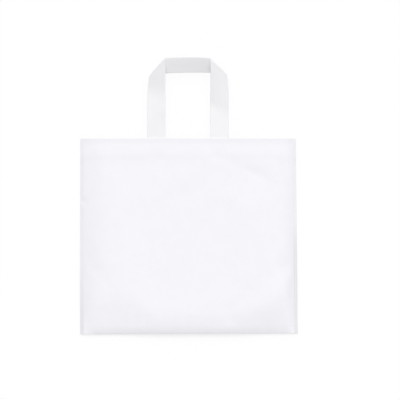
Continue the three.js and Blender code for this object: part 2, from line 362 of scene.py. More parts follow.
def back_height(x, y):
    return mix(weld_middle(x, y) - weld_height(y) / 2, BACK_LEVEL, rounded(x, BACK_ROUND))


def plain_front_height(x, y):
    corner = ease(abs(x), *pick_side(x, LEFT_REACH, RIGHT_REACH))
    crown = corner * pick_side(x, *CORNER_CROWN)
    roll_drop = mix(*ROLL_DROP, ease(x, -HALF_WIDTH, 0))
    drop = FRONT_LEVEL + crown - roll_drop - FOOT_LEVEL - FOOT_OPEN * (1 - corner)
    edge_fall = pick_side(x, *EDGE_FALL) * ease(abs(x), *EDGE_REACH)
    run = mix(FOOT_ROUND, pick_side(x, *CORNER_FALL), corner) + edge_fall
    roll = roll_drop * (1 - share_of(y, FOOT_Y, FOOT_Y + FOOT_ROLL)) ** 2
    fall = drop * (1 - share_of(y, FOOT_Y, FOOT_Y + run)) ** FALL_POWER
    middle = FRONT_LEVEL + crown * ease(y, *CROWN_REACH) - roll - fall
    return mix(weld_middle(x, y) + weld_height(y) / 2, middle, front_rounded(x, y))


print(f"Front panel {plain_front_height(0, 0):.4f} m up in the middle")

# %% [markdown]
# ## Dents
# No cloth bag lies perfectly even. This one has shallow hollows beside both welds and in the middle, a soft
# ridge across each lower corner, a lobe, a ridge and a dimple at the foot, and a faint slanting crease with a
# sag below it under the hem. The straps behind the hem press through it a little.
# A sculpt brush would do the same by eye. Here each one is a soft bump that is given one by one, with a
# middle, a reach across and along, a turn in degrees and a height, so that it can be changed by itself.

# %% Dents of the front panel
DENTS = {
    "left_weld_hollow": (-0.156, -0.056, 0.0140, 0.0090, -12, -0.0005),
    "right_weld_hollow": (0.160, -0.053, 0.0130, 0.0140, 0, -0.0017),
    "left_corner_ridge": (-0.152, -0.104, 0.0300, 0.0180, -12, 0.0006),
    "right_corner_ridge": (0.144, -0.100, 0.0320, 0.0220, 34, 0.0024),
    "right_foot_lobe": (0.120, -0.1285, 0.0350, 0.0160, 0, 0.0008),
    "crease_under_hem": (0.112, 0.105, 0.0250, 0.0095, -24, -0.0015),
    "sag_under_crease": (0.106, 0.088, 0.0320, 0.0220, -24, -0.0013),
    "foot_ridge": (0.046, -0.108, 0.0120, 0.0150, 0, 0.0006),
    "foot_dimple": (0.069, -0.1325, 0.0130, 0.0190, 0, -0.0012),
    "middle_hollow": (-0.010, 0.070, 0.0200, 0.0120, 12, -0.0004),
}
WELD_FADE = 0.012  # stretch beside a weld over which the dents grow
FOOT_FADE = (0.004, 0.020)  # above the foot, where they begin and where they are full
HEM_FADE = (-0.004, 0.009)  # above the hem's edge, where they begin to fade and where they are gone
HEM_STEP = 0.0004  # how far the single cloth lies below the stiffer hem
STEP_RUN = 0.080  # stretch below the hem over which it sinks so far
TAB_PRINT = 0.00015  # how far a strap end presses through the hem
TAB_EDGE = 0.004  # stretch over which it begins to


def beside_tab(x, y):
    from_middle = abs(abs(x) - LEG_X)
    across = 1 - ease(from_middle, HALF_STRAP_WIDTH - TAB_EDGE, HALF_STRAP_WIDTH)
    return across * ease(y, TAB_Y, TAB_Y + TAB_EDGE)


def relief(x, y):
    beside_weld = ease(SEAM_X - abs(x), 0, WELD_FADE)
    above_foot = ease(y, FOOT_Y + FOOT_FADE[0], FOOT_Y + FOOT_FADE[1])
    below_hem = 1 - ease(y, HEM_Y + HEM_FADE[0], HEM_Y + HEM_FADE[1])
    hollows = sum(dent(x, y, *shape) for shape in DENTS.values())
    step = HEM_STEP * ease(y, HEM_Y - STEP_RUN, HEM_Y)
    return beside_weld * above_foot * below_hem * (hollows - step) + TAB_PRINT * beside_tab(x, y)


def dented_front_height(x, y):
    return plain_front_height(x, y) + relief(x, y)


print(f"{len(DENTS)} dents, the deepest {min(shape[-1] for shape in DENTS.values()) * 1000:.1f} mm")

# %% [markdown]
# ## How the panel settles
# Cloth is never cut exactly to the frame of its welds. There is a little more of it than fits, and the spare
# cloth lies in low waves. Noise could stand in for them, but noise doesn't know where the cloth is held. So a
# trial copy of the front panel goes through a cloth simulation: it is held at the welds, at the foot and by
# the straps, its mouth is free, and it grows by a fraction of a hundredth. What it moves up or down is kept
# in part and added to the heights. Weight is left out, because the air inside carries the panel.

# %% Cut the trial panel
SETTLE_COLUMNS = 58
SETTLE_ROWS = 54
GRID_HALF = 0.5  # half the side of the square that the grid operator cuts


def cut_grid(columns, rows):
    cut = bmesh.new()
    bmesh.ops.create_grid(cut, x_segments=columns, y_segments=rows, size=GRID_HALF)
    return cut


def grid_spot(vert, columns, rows):
    return round((vert.co.x + GRID_HALF) * columns), round((vert.co.y + GRID_HALF) * rows)


def trial_place(column, row):
    x = mix(-SEAM_X, SEAM_X, column / SETTLE_COLUMNS)
    y = mix(FOOT_Y, MOUTH_Y, row / SETTLE_ROWS)
    return Vector((x, y, dented_front_height(x, y)))


def is_held(column, row):
    x, y = trial_place(column, row).xy
    on_weld = column in (0, SETTLE_COLUMNS)
    return on_weld or y < FOOT_Y + FOOT_ROLL or beside_tab(x, y) > 0


def trial_panel():
    cut = cut_grid(SETTLE_COLUMNS, SETTLE_ROWS)
    spots = [grid_spot(vert, SETTLE_COLUMNS, SETTLE_ROWS) for vert in cut.verts]
    for spot, vert in zip(spots, cut.verts):
        vert.co = trial_place(*spot)
    panel = add_mesh("trial_panel", cut)
    held = panel.vertex_groups.new(name="held")
    held.add([index for index, spot in enumerate(spots) if is_held(*spot)], 1.0, "REPLACE")
    return panel, spots


print(f"A trial panel has {SETTLE_COLUMNS} by {SETTLE_ROWS} faces")

# %% Settle the front panel
SETTLE_FRAMES = 24
SETTLE_QUALITY = 6  # steps of the simulation in a frame
SETTLE_STIFFNESS = 0.5  # against bending
SETTLE_DAMPING = 5  # by the air
SETTLE_GROWTH = 0.003  # share by which the cloth is longer than its place
SETTLE_KEEP = 0.30  # share of each rise and fall that is kept
SETTLE_CAP = 0.0020  # the most that is kept, up or down


def settle_front():
    panel, spots = trial_panel()
    cloth = panel.modifiers.new("settle", "CLOTH")
    cloth.settings.quality = SETTLE_QUALITY
    cloth.settings.vertex_group_mass = "held"
    cloth.settings.bending_stiffness = SETTLE_STIFFNESS
    cloth.settings.air_damping = SETTLE_DAMPING
    cloth.settings.shrink_min = -SETTLE_GROWTH
    cloth.settings.effector_weights.gravity = 0
    cloth.collision_settings.use_collision = False
    cloth.point_cache.frame_end = SETTLE_FRAMES
    for step in range(1, SETTLE_FRAMES + 1):
        bpy.context.scene.frame_set(step)
    moved = panel.evaluated_get(bpy.context.evaluated_depsgraph_get()).to_mesh()
    lifts = {}
    for spot, vert in zip(spots, moved.vertices):
        lift = SETTLE_KEEP * (vert.co.z - trial_place(*spot).z)
        lifts[spot] = clamp(lift, -SETTLE_CAP, SETTLE_CAP)
    bpy.context.scene.frame_set(1)
    bpy.data.objects.remove(panel)
    return lifts


panel_lifts = settle_front()
print(f"The panel settled by up to {1000 * max(map(abs, panel_lifts.values()), default=0):.2f} mm")

# %% [markdown]
# ## Reading the settled panel
# The trial panel has a vertex every six millimetres and the bag has more, so the heights between are read
# with a smooth spline. Straight lines between the points would show as creases in raking light.

# %% Heights with the settled panel
def spline_weights(share):
    rest = 1 - share
    first = rest ** 3 / 6
    second = (3 * share ** 3 - 6 * share ** 2 + 4) / 6
    third = (3 * rest ** 3 - 6 * rest ** 2 + 4) / 6
    return first, second, third, share ** 3 / 6


def settled(x, y):
    column = share_of(x, -SEAM_X, SEAM_X) * SETTLE_COLUMNS
    row = share_of(y, FOOT_Y, MOUTH_Y) * SETTLE_ROWS
    left = math.floor(column)
    low = math.floor(row)
    lift = 0.0
    for over, across in enumerate(spline_weights(column - left)):
        for up, along in enumerate(spline_weights(row - low)):
            spot = clamp(left + over - 1, 0, SETTLE_COLUMNS), clamp(low + up - 1, 0, SETTLE_ROWS)
            lift += across * along * panel_lifts.get(spot, 0.0)
    return lift


def front_height(x, y):
    return dented_front_height(x, y) + settled(x, y)


print(f"Front panel {front_height(0, 0):.4f} m up in the middle once it has settled")

# %% [markdown]
# ## The folded web
# On the machine the cloth is one long strip. It is followed here from the cut edge of the front hem: up
# inside the mouth, over the fold, down the front panel, round the foot, in and out of the gusset that lets
# the base open, up the back panel and into the rear hem.
# A box with inset sides would be quicker, but it would have no layers at its welds and no real mouth. So the
# strip is worked out as a line across the bag, once for each place along its width.

# %% Stretches of the cloth line
HEM_PITCH = 0.0006  # from the panel to the layer that is turned in behind it
FOLD_STEPS = 10
TUCK_STEPS = 14
HEM_STEPS = 16
FRONT_STEPS = 90
BACK_STEPS = 40
FOOT_STEPS = 24


def stations(start, end, count):
    return [mix(start, end, step / count) for step in range(count + 1)]


LIP_Y = MOUTH_Y - HALF_CLOTH - HEM_PITCH / 2
HEM_ROWS = stations(HEM_Y, LIP_Y, HEM_STEPS)
FRONT_ROWS = stations(HEM_Y, FOOT_Y + FOOT_ROUND, FRONT_STEPS)
BACK_ROWS = stations(HEM_Y, FOOT_Y + FOOT_ROUND, BACK_STEPS)


def arc(middle_y, middle_z, radius, start, end):  # a fold, from one heading of the cloth to another
    side = math.copysign(radius, end - start)
    headings = stations(start, end, FOLD_STEPS)
    return [(middle_y + side * math.sin(turn), middle_z - side * math.cos(turn)) for turn in headings]


def tuck(start, end):  # a leaf of the gusset, between two folds
    steps = stations(0, 1, TUCK_STEPS)[1:-1]
    return [(mix(start[0], end[0], step), mix(start[1], end[1], ease(step, 0, 1))) for step in steps]


def panel_line(height, x, rows, foot_y):
    hem = [(y, height(x, y)) for y in reversed(HEM_ROWS)]
    middle = [(y, height(x, y)) for y in rows[1:]]
    foot = [(y, height(x, y)) for y in stations(rows[-1], foot_y, FOOT_STEPS)[1:]]
    return hem + middle + foot


print(f"A panel has {HEM_STEPS + FRONT_STEPS + FOOT_STEPS} rows in front and fewer at the back")

# %% Line of the cloth across the bag
GUSSET_BEND = 0.0012  # radius of the gusset's inner fold


def fold_radius(bend, full):
    return mix(LAYER_PITCH / 2, bend, full)


def gusset_line(x, front, back, foot_y, full):
    foot_bend = fold_radius(FOOT_BEND, full)
    gusset_bend = fold_radius(GUSSET_BEND, full)
    slope = math.atan2(front[-2][1] - front[-1][1], front[-2][0] - front[-1][0])
    front_middle_y = front[-1][0] + foot_bend * math.sin(slope)
    front_middle_z = front[-1][1] - foot_bend * math.cos(slope)
    front_fold = arc(front_middle_y, front_middle_z, foot_bend, math.pi + slope, 2 * math.pi)
    back_fold = arc(foot_y, back[0][1] + foot_bend, foot_bend, math.pi, 2 * math.pi)
    gusset_z = (plain_front_height(x, GUSSET_Y) + back_height(x, GUSSET_Y)) / 2
    gusset_fold = arc(GUSSET_Y - HALF_CLOTH - gusset_bend, gusset_z, gusset_bend, 0, -math.pi)
    inward = tuck(front_fold[-1], gusset_fold[0])
    outward = tuck(gusset_fold[-1], back_fold[0])
    return front_fold + inward + gusset_fold + outward + back_fold


def cloth_line(x):
    full = front_rounded(x, FOOT_Y)  # zero in a weld, where the folds are pressed flat, one in the middle
    foot_y = FOOT_Y + HALF_CLOTH + fold_radius(FOOT_BEND, full)
    front = panel_line(front_height, x, FRONT_ROWS, foot_y)
    back = panel_line(back_height, x, BACK_ROWS, foot_y)[::-1]
    front_hem = [(y, front_height(x, y) - HEM_PITCH) for y in HEM_ROWS]
    rear_hem = [(y, back_height(x, y) + HEM_PITCH) for y in reversed(HEM_ROWS)]
    front_lip = arc(LIP_Y, front[0][1] - HEM_PITCH / 2, HEM_PITCH / 2, 0, math.pi)
    rear_lip = arc(LIP_Y, back[-1][1] + HEM_PITCH / 2, HEM_PITCH / 2, 0, math.pi)
    outside = front_hem[:-1] + front_lip + front[1:-1]
    return outside + gusset_line(x, front, back, foot_y, full) + back[1:-1] + rear_lip + rear_hem[1:]


def lengths_along(line):
    total = [0.0]
    for start, end in zip(line, line[1:]):
        total.append(total[-1] + math.dist(start, end))
    return total


web_rows = lengths_along(cloth_line(0.0))

# %% [markdown]
# ## Cutting and folding a sheet
# Every piece of this bag is a flat sheet first. The grid operator cuts it, its flat places become the UV map,
# so that the pattern of the cloth follows every fold, and then each vertex goes to its folded place. Marks
# such as where the cloth is welded or doubled become attributes, which the material reads. A Solidify
# modifier gives the thickness, and the cut edges stay sharp.
# Bend modifiers could fold it too, one after the other, but each would move what the last one left.

# %% A helper that cuts and folds a sheet
def folded_sheet(name, columns, rows, flat_place, place, thickness, marks):
    sheet = cut_grid(columns, rows)
    flat_cloth = sheet.loops.layers.uv.new("flat_cloth")
    column_of = sheet.verts.layers.int.new("column")
    row_of = sheet.verts.layers.int.new("row")
    mark_of = {mark: sheet.verts.layers.float.new(mark) for mark in marks}
    for vert in sheet.verts:
        vert[column_of], vert[row_of] = grid_spot(vert, columns, rows)
        for mark, value_at in marks.items():
            vert[mark_of[mark]] = value_at(vert[column_of], vert[row_of])
    for edge in sheet.edges:
        edge.smooth = not edge.is_boundary
    for face in sheet.faces:
        face.smooth = True
        for loop in face.loops:
            loop[flat_cloth].uv = flat_place(loop.vert[column_of], loop.vert[row_of])
    for vert in sheet.verts:
        vert.co = place(vert[column_of], vert[row_of])
    piece = add_mesh(name, sheet)
    wall = piece.modifiers.new("cloth_thickness", "SOLIDIFY")
    wall.thickness = thickness
    wall.offset = 0
    return piece


print("Sheets are cut on a grid, with their flat places as the UV map")

# %% [markdown]
# ## The bag
# The columns of the sheet lie close together in the side welds and where the panel rounds over, and wide
# apart in the level middle. An even grid would need many more faces for the same welds. The right edge also
# splays: the bag is about three millimetres wider at its foot than at its mouth, and its foot edge runs
# slightly aslant.
# The marks say how strongly the cloth is pressed in the welds, along the hem's edge and at the strap ends,
# and where it lies double. The weld mark also carries painted shade along the fold at the mouth and down the
# lower part of the side welds.

# %% Places of the bag's cloth
WELD_COLUMNS = 8
ROUND_COLUMNS = 22
MIDDLE_COLUMNS = 74
RIGHT_SPLAY = 0.0016  # outward at the foot and inward at the mouth, at the right edge
FOOT_LIFT = (0.0002, 0.0017)  # how far the foot's ends lie above the solid's foot line


def bag_columns():
    left_round = -SEAM_X + LEFT_ROUND[0]
    right_round = SEAM_X - RIGHT_ROUND[0]
    left = stations(-HALF_WIDTH, -SEAM_X, WELD_COLUMNS) + stations(-SEAM_X, left_round, ROUND_COLUMNS)[1:]
    middle = stations(left_round, right_round, MIDDLE_COLUMNS)[1:]
    right = stations(right_round, SEAM_X, ROUND_COLUMNS)[1:] + stations(SEAM_X, HALF_WIDTH, WELD_COLUMNS)[1:]
    return left + middle + right


bag_across = bag_columns()
bag_lines = [cloth_line(x) for x in bag_across]


def bag_flat_place(column, row):
    return bag_across[column] + HALF_WIDTH, web_rows[row]


def bag_place(column, row):
    x = bag_across[column]
    y, z = bag_lines[column][row]
    splay = -RIGHT_SPLAY * y / MOUTH_Y * share_of(x, 0, HALF_WIDTH)
    lift = mix(*FOOT_LIFT, share_of(x, -HALF_WIDTH, HALF_WIDTH)) * (1 - share_of(y, FOOT_Y, 0))
    return Vector((x + splay, y + lift, z))


print(f"The bag has {len(bag_across)} columns across")

# %% Marks of the bag's cloth
WELD_EDGE = 0.0006  # half the stretch over which a side weld begins
UPPER_WELD = 0.31  # how strongly the upper part of a side weld is pressed
LOWER_WELD_AND_SHADE = 1.00  # and the lower part, where it adds painted shade towards the foot
LEFT_SHADE_REACH = (-0.145, -0.040)  # where the lower part with its painted shade ends and the upper part begins, on the left
RIGHT_SHADE_REACH = (-0.030, 0.030)
HEM_WELD = 0.073  # how strongly the hem's edge is pressed
HEM_WELD_RUN = (0.002, 0.006)  # from the hem's edge, where that is full and where it ends
MOUTH_PAINTED_SHADE = 0.34  # painted shade along the fold at the mouth, as a share of a pressed weld's grey
MOUTH_SHADE_RUN = (0.0140, 0.0015)  # below the mouth, where that begins and where it is full
TAB_WELD = 0.08  # and where a strap end is welded to the hem
HEM_BLEND = 0.002  # half the stretch over which single cloth becomes double


# weld mark: real welds, plus painted shade at the mouth and the lower side welds
def bag_weld_and_shade(column, row):
    x = bag_across[column]
    y = bag_lines[column][row][0]
    side = ease(abs(x), SEAM_X - WELD_EDGE, SEAM_X + WELD_EDGE)
    # a side weld's real grey, painted darker in its lower part as shade
    side *= mix(LOWER_WELD_AND_SHADE, UPPER_WELD, ease(y, *pick_side(x, LEFT_SHADE_REACH, RIGHT_SHADE_REACH)))
    hem = HEM_WELD * (1 - ease(abs(y - HEM_Y), *HEM_WELD_RUN))
    # painted shade along the fold at the mouth, carried in the weld mark
    mouth = MOUTH_PAINTED_SHADE * ease(MOUTH_Y - y, *MOUTH_SHADE_RUN)
    return max(side, hem, mouth, TAB_WELD * beside_tab(x, y))


def bag_doubled(column, row):
    return ease(bag_lines[column][row][0], HEM_Y - HEM_BLEND, HEM_Y + HEM_BLEND)


bag_marks = {"weld": bag_weld_and_shade, "doubled": bag_doubled}
print("Marks on the bag:", ", ".join(bag_marks))

# %% The bag's cloth
bag_cloth = folded_sheet(
    "bag_cloth", len(bag_across) - 1, len(web_rows) - 1, bag_flat_place, bag_place, CLOTH, bag_marks
)
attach(bag_cloth, "root")
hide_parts("bag_body")
print(f"{bag_cloth.name}: {len(bag_cloth.data.polygons)} faces before its thickness")

# %% [markdown]
# ## How a handle lies
# Each handle is a strap that leaves the hem nearly level and then turns up, because its corner folds are
# stiff. The left leg climbs at once, eases off and curls late, its inner edge more unevenly than its outer
# one. The right leg stays nearly level and turns up along a slant, first at its outer edge. So both legs are
# a little twisted, and the grip still comes out nearly straight.
# A curve object could be bent by hand for this. A chain of straight and turning stretches keeps the strap's
# length nearly exact, so that is used, once for each place across a leg.

# %% Stretches of the two legs
STRAP_REACH = 0.1348  # from the mouth to the far edge of the grip, along the strap

# Each stretch: its length and its turn in degrees, both at the leg's left edge and at its right edge
LEFT_LEG = {
    "leaves_the_hem": ((0.006, 0.006), (7, 7)),
    "rises": ((0.024, 0.016), (0, 0)),
    "turns_again": ((0.012, 0.012), (-7, 7.5)),
    "runs_on": ((0.004, 0.004), (0, 0)),
    "eases_off": ((0.012, 0.012), (0, -10)),
    "runs_straight": ((0.0135, 0.0135), (0, 0)),
    "curls_up": ((0.020, 0.020), (17.2, 12.7)),
}
RIGHT_LEG = {
    "leaves_the_hem": ((0.006, 0.006), (2, 2)),
    "runs_nearly_level": ((0.046, 0.024), (0, 0)),
    "turns_up": ((0.012, 0.020), (16.5, 10)),
    "runs_straight": ((0.020, 0.040), (0, 0)),
    "curls_up": ((0.020, 0.020), (0, 3.25)),
}


def stretches(leg, across):
    chain = [(STRAP_TAB, 0.0)]
    for lengths, turns in leg.values():
        chain.append((mix(*lengths, across), math.radians(mix(*turns, across))))
    return chain + [(STRAP_REACH, 0.0)]


print(f"The left leg has {len(LEFT_LEG)} stretches and the right one {len(RIGHT_LEG)}")

# %% The line of a handle
def follow(start_z, chain, distance):  # the place and the heading this far along a chain of stretches
    y = TAB_Y
    z = start_z
    heading = 0.0
    rest = distance
    for length, turn in chain:
        run = min(rest, length)
        middle = heading + turn * run / length / 2
        y += run * math.cos(middle)
        z += run * math.sin(middle)
        heading += turn * run / length
        rest -= run
    return y, z, heading


def handle_line(seat):
    def at(x, distance):
        left_across = share_of(x, -LEG_OUTER, -LEG_INNER)
        right_across = share_of(x, LEG_INNER, LEG_OUTER)
        left = follow(seat, stretches(LEFT_LEG, left_across), distance)
        right = follow(seat, stretches(RIGHT_LEG, right_across), distance)
        share = ease(x, -LEG_INNER, LEG_INNER)
        return [mix(a, b, share) for a, b in zip(left, right)]
    return at


grip_y, grip_z, grip_heading = handle_line(0.0)(0.0, STRAP_TAB + STRAP_REACH)
print(f"The grip is {grip_z:.3f} m above the hem and slopes by {math.degrees(grip_heading):.1f} degrees")

# %% [markdown]
# ## Folding the strap's corners
# At each corner the strap is folded over at 45 degrees, so that it turns from a leg into the grip and shows
# its other face. The fold is a half cylinder with its axis aslant across the strap, and the rows of the sheet
# swing round to lie along it. The folds stand a little open, so behind the legs the grip slopes away from
# them: it hangs from its far edge, bows and so looks narrower, and sags towards its middle. The folds are
# also a little crushed: they lie mostly short of a sharp fold, and each leg's outer edge is drawn in there.
# A band on a curve would twist at such a corner instead of folding flat, so the strap is folded by formula.

# %% The corner fold
STRAP_BEND = 0.00065  # radius of a corner fold
GRIP_TILT = math.radians(11.4)  # how far the grip hangs away from the legs
GRIP_SAG_RUN = 0.030  # half the stretch in the middle over which the sag turns round
GRIP_NARROW = 0.080  # share of the strap's width that is lost because it bows
FOLD_EASE = 0.006  # how gently the open fold begins
DIAGONAL = math.sqrt(0.5)  # sine and cosine of 45 degrees

STRAP_ARC = math.pi * STRAP_BEND
FOLD_START = STRAP_REACH - HALF_STRAP_WIDTH - STRAP_ARC * DIAGONAL  # along the strap's middle, from the mouth
FOLD_TIP = FOLD_START - HALF_STRAP_WIDTH  # the same at a leg's outer edge
GRIP_MIDDLE = FOLD_START + LEG_X + STRAP_ARC * DIAGONAL


def sag_distance(x):  # from the middle of the grip, rounded off there so that the sag has no crease
    if abs(x) > GRIP_SAG_RUN:
        return abs(x)
    return (x * x / GRIP_SAG_RUN + GRIP_SAG_RUN) / 2


def corner_folded(along, across, above, tilt):
    past = (along - FOLD_START - across) * DIAGONAL
    flat = Vector((across - LEG_X, along, above))
    if past <= 0:
        return flat
    away = Vector((-DIAGONAL, DIAGONAL, 0))
    flat -= away * past
    if past < STRAP_ARC:
        turned = past / STRAP_BEND
        flat += away * ((STRAP_BEND + above) * math.sin(turned))
        flat.z = (STRAP_BEND + above) * math.cos(turned) - STRAP_BEND
        return flat
    flat += away * (STRAP_ARC - past)
    below = flat.y - STRAP_REACH
    away_from_fold = max(LEG_INNER - sag_distance(flat.x) - below, 0.0)
    opened = away_from_fold ** 2 / (away_from_fold + FOLD_EASE)
    hanging = ease(past - STRAP_ARC, 0, HALF_STRAP_WIDTH)
    hang = tilt * hanging
    flat.y = STRAP_REACH + below * (1 - GRIP_NARROW * hanging) * math.cos(hang) + above * math.sin(hang)
    flat.z = -opened * math.sin(tilt) - above * math.cos(hang) - 2 * STRAP_BEND
    return flat


print(f"A corner fold begins {FOLD_START:.3f} m from the mouth")

# %% The crushed corners
LEFT_SLIP = (-0.0004, 0.0018)  # how far the left fold lies inside a sharp one, at its inner and outer end
RIGHT_SLIP = (0.0014, 0.0014)
SLIP_RUN = 0.015  # stretch beside the fold that takes this up
EDGE_PINCH = (0.0018, 0.0016)  # how far a leg's outer edge is drawn in where it meets the fold
PINCH_RUN = 0.040  # stretch of the leg that takes this up


def crushed(flat, side):
    inside = (flat.x + LEG_X + FOLD_START - flat.y) * DIAGONAL
    outward = share_of(-flat.x, LEG_INNER, LEG_OUTER)
    slip = mix(*pick_side(side, LEFT_SLIP, RIGHT_SLIP), outward)
    slip *= (1 - share_of(inside, 0, SLIP_RUN)) ** 2 * DIAGONAL
    outer = share_of(-LEG_X - flat.x, 0, HALF_STRAP_WIDTH)
    pinch = pick_side(side, *EDGE_PINCH) * outer ** 2 * ease(flat.y, FOLD_TIP - PINCH_RUN, FOLD_TIP)
    return flat + Vector((slip + pinch, -slip, 0))


print(f"The legs' outer edges are drawn in by {1000 * EDGE_PINCH[0]:.1f} and {1000 * EDGE_PINCH[1]:.1f} mm")

# %% Rows of a strap
CORNER_MARGIN = 0.003  # how far short of the fold the rows begin to swing
LEG_ROWS = 48
CORNER_ROWS = 8
GRIP_ROWS = 12


def strap_rows():
    square = FOLD_TIP - CORNER_MARGIN
    fold_end = FOLD_START + STRAP_ARC / DIAGONAL
    grip = fold_end + HALF_STRAP_WIDTH + CORNER_MARGIN
    swings = stations(0, 1, CORNER_ROWS)[1:]
    leg = [(along, 0.0) for along in stations(-STRAP_TAB, square, LEG_ROWS)]
    to_fold = [(mix(square, FOLD_START, swing), swing) for swing in swings]
    fold = [(along, 1.0) for along in stations(FOLD_START, fold_end, FOLD_STEPS)[1:]]
    from_fold = [(mix(fold_end, grip, swing), 1 - swing) for swing in swings]
    middle = [(along, 0.0) for along in stations(grip, GRIP_MIDDLE, GRIP_ROWS)[1:]]
    return leg + to_fold + fold + from_fold + middle


half_rows = strap_rows()
STRAP_ROWS = 2 * (len(half_rows) - 1)
print(f"{STRAP_ROWS + 1} rows along a strap")

# %% [markdown]
# ## The straps
# A strap is a strip of cloth with its edges turned in until they meet along the middle of one side, and
# pressed flat. So the sheet is twice as wide as the strap, and each of its rows runs round a flat loop. A
# plain band would look the same from above, but it would have no slit along its back and no folded edges.

# %% Section of a strap
STRAP_THICKNESS = 0.001
STRAP_LAYER = 0.00045  # thickness of one of its two layers
SLIT = 0.0001  # between the turned-in edges
EDGE_STEPS = 6
FACE_STEPS = 16


def strap_section():
    level = (STRAP_THICKNESS - STRAP_LAYER) / 2
    edge = HALF_STRAP_WIDTH - STRAP_LAYER / 2 - level
    turns = stations(-math.pi / 2, math.pi / 2, EDGE_STEPS)[1:-1]
    half_back = [(across, -level) for across in stations(SLIT / 2, edge, FACE_STEPS // 2)]
    round_edge = [(edge + level * math.cos(turn), level * math.sin(turn)) for turn in turns]
    face = [(across, level) for across in stations(edge, -edge, FACE_STEPS)]
    other_edge = [(-across, above) for across, above in reversed(round_edge)]
    other_back = [(-across, above) for across, above in reversed(half_back)]
    return half_back + round_edge + face + other_edge + other_back


section = strap_section()
strap_across = lengths_along(section)
STRAP_CUT_LENGTH = 2 * (STRAP_TAB + GRIP_MIDDLE)

# %% Places and marks of a strap's cloth
GRIP_LEAN = 0.021  # rise of the grip from left to right, as a share of its length
STRAP_SHIFT = (-0.0013, -0.0006)  # how far a handle is shifted sideways, at the mouth and at the grip


def half_row(row):
    return half_rows[min(row, STRAP_ROWS - row)]


def strap_flat_place(column, row):
    along, swing = half_row(row)
    distance = STRAP_TAB + along + swing * section[column][0]
    if row >= len(half_rows):
        distance = STRAP_CUT_LENGTH - distance
    return strap_across[column], distance


def strap_place(column, row, line, tilt, spread, rise):
    across, above = section[column]
    along, swing = half_row(row)
    side = -1 if row < len(half_rows) else 1
    flat = crushed(corner_folded(along + swing * across, across, above, tilt), side)
    x = -side * flat.x
    up = share_of(flat.y, 0, FOLD_START)
    y, z, heading = line(x, flat.y + STRAP_TAB + (GRIP_LEAN * x + rise) * up)
    x = x * spread + mix(*STRAP_SHIFT, up)
    return Vector((x, y - flat.z * math.sin(heading), z + flat.z * math.cos(heading)))


def strap_weld(column, row):
    return TAB_WELD * (1 - ease(half_row(row)[0], -TAB_EDGE, 0))


def strap_doubled(column, row):
    return 1.0


strap_marks = {"weld": strap_weld, "doubled": strap_doubled}
print("Marks on a strap:", ", ".join(strap_marks))

# %% The two straps
SEAT_GAP = 0.0003  # between a strap end and the hem
REAR_EXTRA_TILT = math.radians(4)
REAR_SPREAD = 1.006  # the rear strap stands a little wider than the front one
REAR_RISE = 0.0010  # and reaches a little further


def make_strap(name, node, line, tilt, spread, rise):
    def place(column, row):
        return strap_place(column, row, line, tilt, spread, rise)

    strap = folded_sheet(
        name, len(section) - 1, STRAP_ROWS, strap_flat_place, place, STRAP_LAYER, strap_marks
    )
    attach(strap, "root")
    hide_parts(node)
    return strap


front_line = handle_line(LOFT - 2 * CLOTH - SEAT_GAP - STRAP_THICKNESS / 2)
rear_line = handle_line(2 * CLOTH + SEAT_GAP + STRAP_THICKNESS / 2)
rear_tilt = GRIP_TILT + REAR_EXTRA_TILT
front_strap = make_strap("front_strap", "front_handle", front_line, GRIP_TILT, 1.0, 0.0)
rear_strap = make_strap("rear_strap", "rear_handle", rear_line, rear_tilt, REAR_SPREAD, REAR_RISE)
for strap in (front_strap, rear_strap):
    print(f"{strap.name}: {len(strap.data.polygons)} faces before its thickness")

# %% [markdown]
# ## Bond points
# Spunbond cloth is held together by a hot roller with thousands of small raised pins. Each pin melts a point
# about a millimetre across, and the points stand in slanting rows. They could be modelled, but a bag has some
# eighty thousand of them. A Voronoi texture with no randomness gives a grid of cells, and the distance to the
# middle of a cell gives a round point. It reads the flat cloth, so the rows follow every fold.

# %% Group for the bond points
POINT_TURN = math.radians(45)
POINT_INSIDE = 0.24  # of the pitch, where a point is flat
POINT_OUTSIDE = 0.38  # and where it ends


def start_group(name, inputs, outputs):
    group = bpy.data.node_groups.new(name, "ShaderNodeTree")
    for title, kind in inputs.items():
        group.interface.new_socket(title, in_out="INPUT", socket_type=kind)
    for title, kind in outputs.items():
        group.interface.new_socket(title, in_out="OUTPUT", socket_type=kind)
    return group, group.nodes.new("NodeGroupInput"), group.nodes.new("NodeGroupOutput")


def add_turn(group, place, angle):
    return add_node(group, "ShaderNodeVectorRotate", {"Vector": place, "Angle": angle}).outputs["Vector"]


def make_bond_points():
    inputs = {"Vector": "NodeSocketVector", "Pitch": "NodeSocketFloat"}
    group, entry, result = start_group("bond_points", inputs, {"Points": "NodeSocketFloat"})
    count = add_math(group, "DIVIDE", 1.0, entry.outputs["Pitch"])
    turned = add_turn(group, entry.outputs["Vector"], POINT_TURN)
    cells = add_node(
        group,
        "ShaderNodeTexVoronoi",
        {"Vector": turned, "Scale": count, "Randomness": 0.0},
        voronoi_dimensions="2D",
    )
    points = add_range(group, cells.outputs["Distance"], POINT_INSIDE, POINT_OUTSIDE, 1.0, 0.0)
    group.links.new(points, result.inputs["Points"])
    return group


bond_points = make_bond_points()
print(f"Group {bond_points.name} with {len(bond_points.nodes)} nodes")

# %% [markdown]
# ## Fibres and clouds
# Between the points the threads lie at random, denser in one place and thinner in the next, which makes such
# cloth faintly cloudy against the light. Hair could be grown for the threads, but they are thinner than a
# pixel. Three noises, each stretched along its own direction, cross each other as threads do, and a wide soft
# noise makes the clouds.

